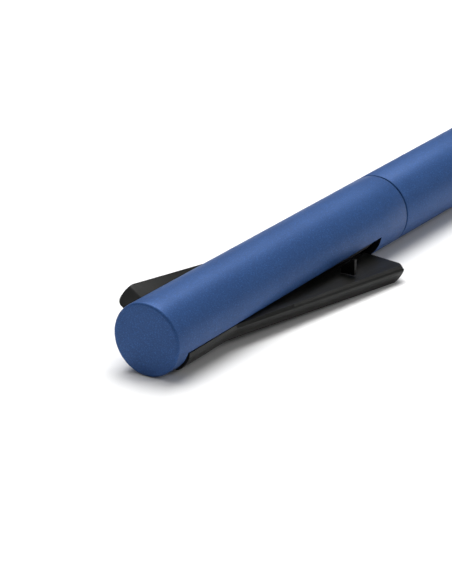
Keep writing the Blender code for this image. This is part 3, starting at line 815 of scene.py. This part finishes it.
# --- barrel ---
@dataclass
class Barrel:
    """Barrel tube and its end plug."""

    wall: float = 0.9 * MM
    lip: float = 0.12 * MM
    end_bevel: float = 0.45 * MM
    seat_gap: float = 0.08 * MM
    seat_radius: float = 3.5 * MM
    seat_depth: float = 1.5 * MM
    steps: int = 120

    def build_tube(self) -> bpy.types.Object:
        """Spin the tube with rounded lips."""
        low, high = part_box("barrel_tube")
        lip, r = self.lip, high.z
        profile = [(high.x - lip, r - self.wall), (high.x, r - self.wall + lip)]
        profile += arc(high.x - lip / 2, r - lip / 2, lip / 2, 0.0, 90.0, 2)
        profile += arc(low.x + lip, r - lip, lip, 90.0, 180.0, 3)
        profile += [(low.x, r - self.wall + lip), (low.x + lip, r - self.wall)]
        return place("barrel_body", spun(profile, self.steps, True), LACQUER, Body.BARREL,
                     ["barrel_tube"])

    def build_plug(self) -> bpy.types.Object:
        """Spin the flat end plug."""
        low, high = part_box("barrel_end_plug")
        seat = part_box("barrel_tube")[1].x + self.seat_gap
        r, bevel = high.z, self.end_bevel
        spigot = r - self.wall - self.seat_gap
        profile = [(high.x, 0.0), (high.x, r * END_SHARE)]
        profile += arc(high.x - bevel, r - bevel, bevel, 0.0, 90.0, 6)
        profile += [(seat, r), (seat, spigot), (low.x, spigot), (low.x, self.seat_radius),
                    (low.x + self.seat_depth, self.seat_radius),
                    (low.x + self.seat_depth, 0.0)]
        return place("barrel_end_cap", spun(profile, self.steps, False), LACQUER,
                     Body.BARREL, ["barrel_end_plug"])


# --- cap fittings ---
@dataclass
class CapFittings:
    """Liner and snap ring inside the cap."""

    liner_wall: float = 0.45 * MM
    liner_floor: float = 0.8 * MM
    liner_round: float = 0.3 * MM
    mouth_chamfer: float = 0.1 * MM
    seat_taper: float = 0.8 * MM
    bead_share: float = 0.55
    seat_radius: float = 2.5 * MM
    seat_length: float = 2.8 * MM
    steps: int = 96

    def build_liner(self) -> bpy.types.Object:
        """Spin the closed liner, with its sealing step round the tip."""
        low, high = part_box("inner_cap")
        outer, rounding, edge = high.z, self.liner_round, self.mouth_chamfer
        inner = outer - self.liner_wall
        floor = low.x + self.liner_floor
        seat_end = floor + self.seat_length
        profile = [(low.x, 0.0)]
        profile += arc(low.x + rounding, outer - rounding, rounding, 180.0, 90.0, 4)
        profile += [(high.x - edge, outer), (high.x, outer - edge), (high.x, inner)]
        profile += [(seat_end + self.seat_taper, inner), (seat_end, self.seat_radius),
                    (floor, self.seat_radius), (floor, 0.0)]
        return place("cap_liner", spun(profile, self.steps, False), BLACK_MOULDING,
                     Body.CAP, ["inner_cap"])

    def build_snap_ring(self) -> bpy.types.Object:
        """Spin the ring with a rounded inner bead."""
        low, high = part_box("cap_snap_ring")
        inner = bore_of("cap_snap_ring")
        middle, half = (low.x + high.x) / 2, (high.x - low.x) / 2
        profile = [(low.x, high.z), (high.x, high.z)]
        bead = half * self.bead_share
        profile += arc(middle, inner + bead, bead, 0.0, -180.0, 8)
        return place("cap_grip_ring", spun(profile, self.steps, True), BRIGHT_STEEL,
                     Body.CAP, ["cap_snap_ring"])


# --- section ---
@dataclass
class Section:
    """Grip section with its collar ring, thread, seal and front cone."""

    bore: float = 3.08 * MM
    front_radius: float = 3.9 * MM
    rear_radius: float = 4.0 * MM
    shank_relief: float = 0.1 * MM
    seat_relief: float = 0.02 * MM
    seal_depth: float = 0.6 * MM
    seal_gap: float = 0.05 * MM
    lead_length: float = 0.35 * MM
    chamfer: float = 0.15 * MM
    groove_start: float = 5.0 * MM
    groove_half: float = 0.3 * MM
    groove_count: int = 5
    groove_pitch: float = 1.5 * MM
    groove_depth: float = 0.12 * MM
    pitch: float = 1.0 * MM
    thread_depth: float = 0.22 * MM
    thread_relief: float = 0.12 * MM
    thread_root: float = 0.02 * MM
    thread_lead: float = 0.4 * MM
    thread_tail: float = 0.5 * MM
    thread_flank: float = 0.42
    thread_crest: float = 0.25
    thread_steps: int = 48
    snap_lift: float = 0.35 * MM
    snap_radius: float = 0.45 * MM
    seal_sides: int = 16
    seal_steps: int = 64
    cone_mouth: float = 1.28 * MM
    cone_spigot: float = 2.3 * MM
    cone_wall: float = 0.45 * MM
    cone_lip: float = 0.2 * MM
    cone_edge: float = 0.1 * MM
    cone_land: float = 0.8 * MM
    cone_waist: float = 0.12 * MM
    cone_steps: int = 12
    throat_start: float = 2.6 * MM
    throat_end: float = 4.4 * MM
    steps: int = 96

    def build_grip(self) -> bpy.types.Object:
        """Spin the section: grooved grip, seat of the collar ring and plain shank."""
        low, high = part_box("grip_section")
        ring_low, ring_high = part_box("section_collar_ring")
        seal_low, seal_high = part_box("section_o_ring")
        front, rear = self.front_radius, self.rear_radius
        shank = high.z - self.shank_relief
        seat, root = high.z - self.seat_relief, shank - self.seal_depth
        thread = shank - self.thread_depth
        chamfer, gap = self.chamfer, self.seal_gap
        profile: list[tuple[float, float]] = [
            (low.x, self.bore), (low.x, front - chamfer), (low.x + chamfer, front)]
        start = low.x + self.groove_start
        for index in range(self.groove_count):
            centre = start + index * self.groove_pitch
            level = front + (rear - front) * (centre - low.x) / (ring_low.x - low.x)
            profile += groove(centre, level, self.groove_half, self.groove_depth)
        profile += [(ring_low.x, rear), (ring_low.x, seat), (ring_high.x, seat),
                    (ring_high.x, shank), (seal_low.x - gap, shank),
                    (seal_low.x - gap, root), (seal_high.x + gap, root),
                    (seal_high.x + gap, thread), (high.x - self.lead_length, thread),
                    (high.x, thread - chamfer), (high.x, self.bore)]
        return place("grip", spun(profile, self.steps, True), GRIP_MOULDING, Body.SECTION,
                     ["grip_section"])

    def build_thread(self) -> bpy.types.Object:
        """Wind the thread's ridge round the shank."""
        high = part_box("grip_section")[1]
        seal_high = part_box("section_o_ring")[1]
        crest = high.z - self.thread_relief
        base = crest - self.thread_depth - self.thread_root
        start = seal_high.x + self.thread_lead
        turns = math.floor((high.x - self.thread_tail - start) / self.pitch)
        work = bmesh.new()
        half, top = self.pitch * self.thread_flank, self.thread_crest
        points = [work.verts.new((start + offset, 0.0, level)) for offset, level in (
            (-half, base), (-half * top, crest), (half * top, crest), (half, base))]
        face = work.faces.new(points)
        steps = self.thread_steps
        bmesh.ops.spin(work, geom=[face], cent=(0.0, 0.0, 0.0), axis=AXIS,
                       dvec=(self.pitch / steps, 0.0, 0.0), angle=math.tau * turns,
                       steps=steps * turns, use_merge=False, use_duplicate=False)
        return place("section_thread", work, GRIP_MOULDING, Body.SECTION)

    def build_collar(self) -> bpy.types.Object:
        """Spin the bright collar ring with a snap groove."""
        low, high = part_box("section_collar_ring")
        inner = bore_of("section_collar_ring")
        outer, edge = high.z, self.chamfer
        middle = (low.x + high.x) / 2
        profile = [(high.x, inner)]
        profile += arc(high.x - edge, outer - edge, edge, 0.0, 90.0, 4)
        profile += arc(middle, outer + self.snap_lift, self.snap_radius, -40.0, -140.0, 8)
        profile += arc(low.x + edge, outer - edge, edge, 90.0, 180.0, 4)
        profile += [(low.x, inner)]
        return place("collar_ring", spun(profile, self.steps, True), CHROME, Body.SECTION,
                     ["section_collar_ring"])

    def build_seal(self) -> bpy.types.Object:
        """Spin the O-ring."""
        low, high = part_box("section_o_ring")
        wire = (high.x - low.x) / 2
        centre = high.z - wire
        work = bmesh.new()
        ring = bmesh.ops.create_circle(work, radius=wire, segments=self.seal_sides)["verts"]
        bmesh.ops.rotate(work, verts=ring, cent=(0.0, 0.0, 0.0),
                         matrix=Matrix.Rotation(math.pi / 2, 3, "X"))
        bmesh.ops.translate(work, verts=ring, vec=((low.x + high.x) / 2, 0.0, centre))
        bmesh.ops.spin(work, geom=work.verts[:] + work.edges[:], cent=(0.0, 0.0, 0.0),
                       axis=AXIS, angle=math.tau, steps=self.seal_steps, use_merge=True)
        return place("o_ring", work, RUBBER, Body.SECTION, ["section_o_ring"])

    def build_cone(self) -> bpy.types.Object:
        """Spin the front cone with a waisted flank and a rolled mouth."""
        low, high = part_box("front_cone")
        mouth, spigot = self.cone_mouth, self.cone_spigot
        outer, edge, lip = high.z, self.cone_edge, self.cone_lip
        back, end_radius = high.x - self.cone_land, mouth + self.cone_wall
        flank = [(high.x, spigot), (high.x, outer - edge), (high.x - edge, outer),
                 (back, outer)]
        for index in range(1, self.cone_steps):
            share = index / self.cone_steps
            level = outer + (end_radius - outer) * share
            flank.append((back - (back - low.x) * share,
                          level - self.cone_waist * math.sin(math.pi * share)))
        flank += arc(low.x + lip, end_radius - lip, lip, 90.0, 180.0, 3)
        flank += [(low.x, mouth), (low.x + self.throat_start, mouth),
                  (low.x + self.throat_end, spigot)]
        return place("nose_cone", spun(flank, self.steps, True), CHROME, Body.SECTION,
                     ["front_cone"])


# --- refill ---
@dataclass
class Refill:
    """Refill: tube, nose, point, ball and rear stopper."""

    wall: float = 0.35 * MM
    chamfer: float = 0.08 * MM
    crimp_back: float = 4.5 * MM
    crimp_half: float = 0.5 * MM
    crimp_depth: float = 0.12 * MM
    neck_radius: float = 1.2 * MM
    neck_bore: float = 0.55 * MM
    point_bore: float = 0.12 * MM
    ball_gap: float = 0.03 * MM
    shoulder_back: float = 0.3 * MM
    neck_fillet: float = 0.7 * MM
    neck_step: float = 0.15 * MM
    tip_radius: float = 0.82 * MM
    tip_taper: float = 0.7 * MM
    vent: float = 0.4 * MM
    flange_width: float = 0.7 * MM
    flange_round: float = 0.3 * MM
    steps: int = 64

    def build_tube(self) -> bpy.types.Object:
        """Spin the tube with a crimp near its rear end."""
        low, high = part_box("refill_tube")
        outer, inner, edge = high.z, high.z - self.wall, self.chamfer
        crimp = high.x - self.crimp_back
        profile = [(low.x, inner), (low.x, outer - edge), (low.x + edge, outer)]
        profile += groove(crimp, outer, self.crimp_half, self.crimp_depth)
        profile += [(high.x - edge, outer), (high.x, outer - edge), (high.x, inner)]
        return place("refill_body", spun(profile, self.steps, True), BRIGHT_STEEL,
                     Body.REFILL, ["refill_tube"])

    def build_nose(self) -> bpy.types.Object:
        """Spin the moulded nose with a stepped neck."""
        low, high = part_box("refill_nose")
        plug, neck, bore = high.z, self.neck_radius, self.neck_bore
        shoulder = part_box("refill_tube")[0].x - self.shoulder_back
        step, fillet = self.neck_step, self.neck_fillet
        profile = [(high.x, bore), (high.x, plug), (shoulder, plug)]
        profile += arc(shoulder - fillet, neck + fillet, fillet, 0.0, -90.0, 4)[1:]
        profile += [(low.x + 2.2 * MM, neck), (low.x + 2.0 * MM, neck - step),
                    (low.x + self.tip_taper, neck - step), (low.x, self.tip_radius),
                    (low.x, bore)]
        return place("refill_neck", spun(profile, self.steps, True), BLACK_MOULDING,
                     Body.REFILL, ["refill_nose"])

    def build_point(self) -> bpy.types.Object:
        """Spin the conical steel point round the ball."""
        low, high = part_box("point_socket")
        outer = high.z
        ball_low, ball_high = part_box("writing_ball")
        centre, socket = (ball_low.x + ball_high.x) / 2, ball_high.z + self.ball_gap
        lip = socket + 0.09 * MM
        profile = [(high.x, self.point_bore), (high.x, outer), (low.x + 0.9 * MM, outer),
                   (low.x + 0.05 * MM, lip), (low.x, lip - 0.04 * MM)]
        profile += arc(centre, 0.0, socket, 100.0, 25.0, 6)
        profile += [(centre + socket + 0.2 * MM, self.point_bore)]
        return place("point_tip", spun(profile, self.steps, True), BRIGHT_STEEL,
                     Body.REFILL, ["point_socket"])

    def build_ball(self) -> bpy.types.Object:
        """Spin the writing ball from a half circle."""
        low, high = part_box("writing_ball")
        radius = high.z
        profile = arc((low.x + high.x) / 2, 0.0, radius, 180.0, 0.0, 16)
        profile[0], profile[-1] = (low.x, 0.0), (high.x, 0.0)
        return place("ball", spun(profile, 32, False), BALL_METAL, Body.BALL,
                     ["writing_ball"])

    def build_stopper(self) -> bpy.types.Object:
        """Spin the rear stopper with its air hole."""
        low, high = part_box("refill_end_plug")
        flange, plug, vent = high.z, high.z - self.wall - self.chamfer, self.vent
        back, corner = high.x, self.flange_round
        face = back - self.flange_width
        profile = [(low.x, vent), (low.x, plug - 0.15 * MM), (low.x + 0.15 * MM, plug),
                   (face, plug), (face, flange)]
        profile += arc(back - corner, flange - corner, corner, 90.0, 0.0, 4)
        profile += [(back, vent + 0.2 * MM), (back - 0.2 * MM, vent)]
        return place("refill_stopper", spun(profile, self.steps, True), BLACK_MOULDING,
                     Body.REFILL, ["refill_end_plug"])


# --- pieces that keep their frame shape ---
KEPT_NODES: dict[str, Finish] = {
    "clip_carrier": BLACK_MOULDING, "clip_pivot_pin": BRIGHT_STEEL,
    "clip_torsion_spring": BRIGHT_STEEL, "barrel_thread_bush": BRASS, "feed_wick": FIBRE,
    "ink_reservoir": FIBRE, "refill_spring": BRIGHT_STEEL,
}


def dress_kept_nodes() -> None:
    """Give the frame's own pieces their finishes."""
    for name, finish in KEPT_NODES.items():
        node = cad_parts[name]
        node.data.materials.clear()
        node.data.materials.append(finish.material())


# --- studio ---
@dataclass
class Studio:
    """Floor, lights and camera."""

    lens: float = 195.26
    sensor: float = 36.0
    camera_place: tuple[float, float, float] = (-0.34769, -0.24262, 0.17698)
    camera_right: tuple[float, float, float] = (0.54949, -0.8355, 0.0)
    camera_up: tuple[float, float, float] = (0.31015, 0.20398, 0.92855)
    world_strength: float = 0.21
    aim: tuple[float, float, float] = (0.03, 0.0, 0.0)

    def build_camera(self) -> None:
        """Place the camera and make it the scene's."""
        data = bpy.data.cameras.new("studio_camera")
        data.lens = self.lens
        data.sensor_width = self.sensor
        data.clip_start, data.clip_end = 0.01, 20.0
        camera = bpy.data.objects.new("studio_camera", data)
        bpy.context.scene.collection.objects.link(camera)
        right, up = Vector(self.camera_right), Vector(self.camera_up)
        turn = Matrix((right, up, right.cross(up))).transposed().to_4x4()
        camera.matrix_world = Matrix.Translation(self.camera_place) @ turn
        bpy.context.scene.camera = camera

    def build_floor(self) -> None:
        """Lay the floor under the lowest point of the pen."""
        work = bmesh.new()
        bmesh.ops.create_grid(work, x_segments=1, y_segments=1, size=3.0)
        bmesh.ops.translate(work, verts=work.verts, vec=(0.07, 0.0, CAD_BOX[0].z))
        mesh = bpy.data.meshes.new("studio_floor")
        work.to_mesh(mesh)
        work.free()
        floor = bpy.data.objects.new("studio_floor", mesh)
        floor.data.materials.append(FLOOR.material())
        bpy.context.scene.collection.objects.link(floor)

    def add_softbox(self, name: str, place_at: tuple[float, float, float], size: float,
                    power: float) -> None:
        """Hang a square softbox.

        Args:
            name: its name.
            place_at: where it hangs.
            size: its side.
            power: its power in watts.
        """
        data = bpy.data.lights.new(name, "AREA")
        data.shape = "SQUARE"
        data.size = size
        data.energy = power
        light = bpy.data.objects.new(name, data)
        light.location = place_at
        light.rotation_mode = "QUATERNION"
        away = Vector(place_at) - Vector(self.aim)
        light.rotation_quaternion = away.to_track_quat("Z", "Y")
        bpy.context.scene.collection.objects.link(light)

    def build_lights(self) -> None:
        """Set the even surround and the softboxes."""
        world = bpy.data.worlds.new("studio_surround")
        world.use_nodes = True
        background = world.node_tree.nodes["Background"]
        background.inputs["Color"].default_value = (1.0, 1.0, 1.0, 1.0)
        background.inputs["Strength"].default_value = self.world_strength
        bpy.context.scene.world = world
        self.add_softbox("key_softbox", (0.28, 0.18, 0.8), 0.7, 11.3)
        self.add_softbox("side_softbox", (0.35, -0.6, 0.45), 0.35, 1.0)
        self.add_softbox("rim_softbox", (-0.3, 0.35, 0.6), 0.12, 0.3)
        bpy.context.scene.view_settings.view_transform = "Standard"

    def build(self) -> None:
        """Build the whole studio."""
        self.build_camera()
        self.build_floor()
        self.build_lights()


def main() -> None:
    """Build the studio, then every piece."""
    logging.basicConfig(level=logging.INFO, format="%(message)s")
    Studio().build()
    blade, barrel, fittings = ClipBlade(), Barrel(), CapFittings()
    section, refill = Section(), Refill()
    for build in (CapTube().build, blade.build_arm, blade.build_tab, blade.build_foot,
                  barrel.build_tube, barrel.build_plug, fittings.build_liner,
                  fittings.build_snap_ring, section.build_grip, section.build_thread,
                  section.build_collar, section.build_seal, section.build_cone,
                  refill.build_tube, refill.build_nose, refill.build_point,
                  refill.build_ball, refill.build_stopper):
        build()
    dress_kept_nodes()


if __name__ == "__main__":
    main()
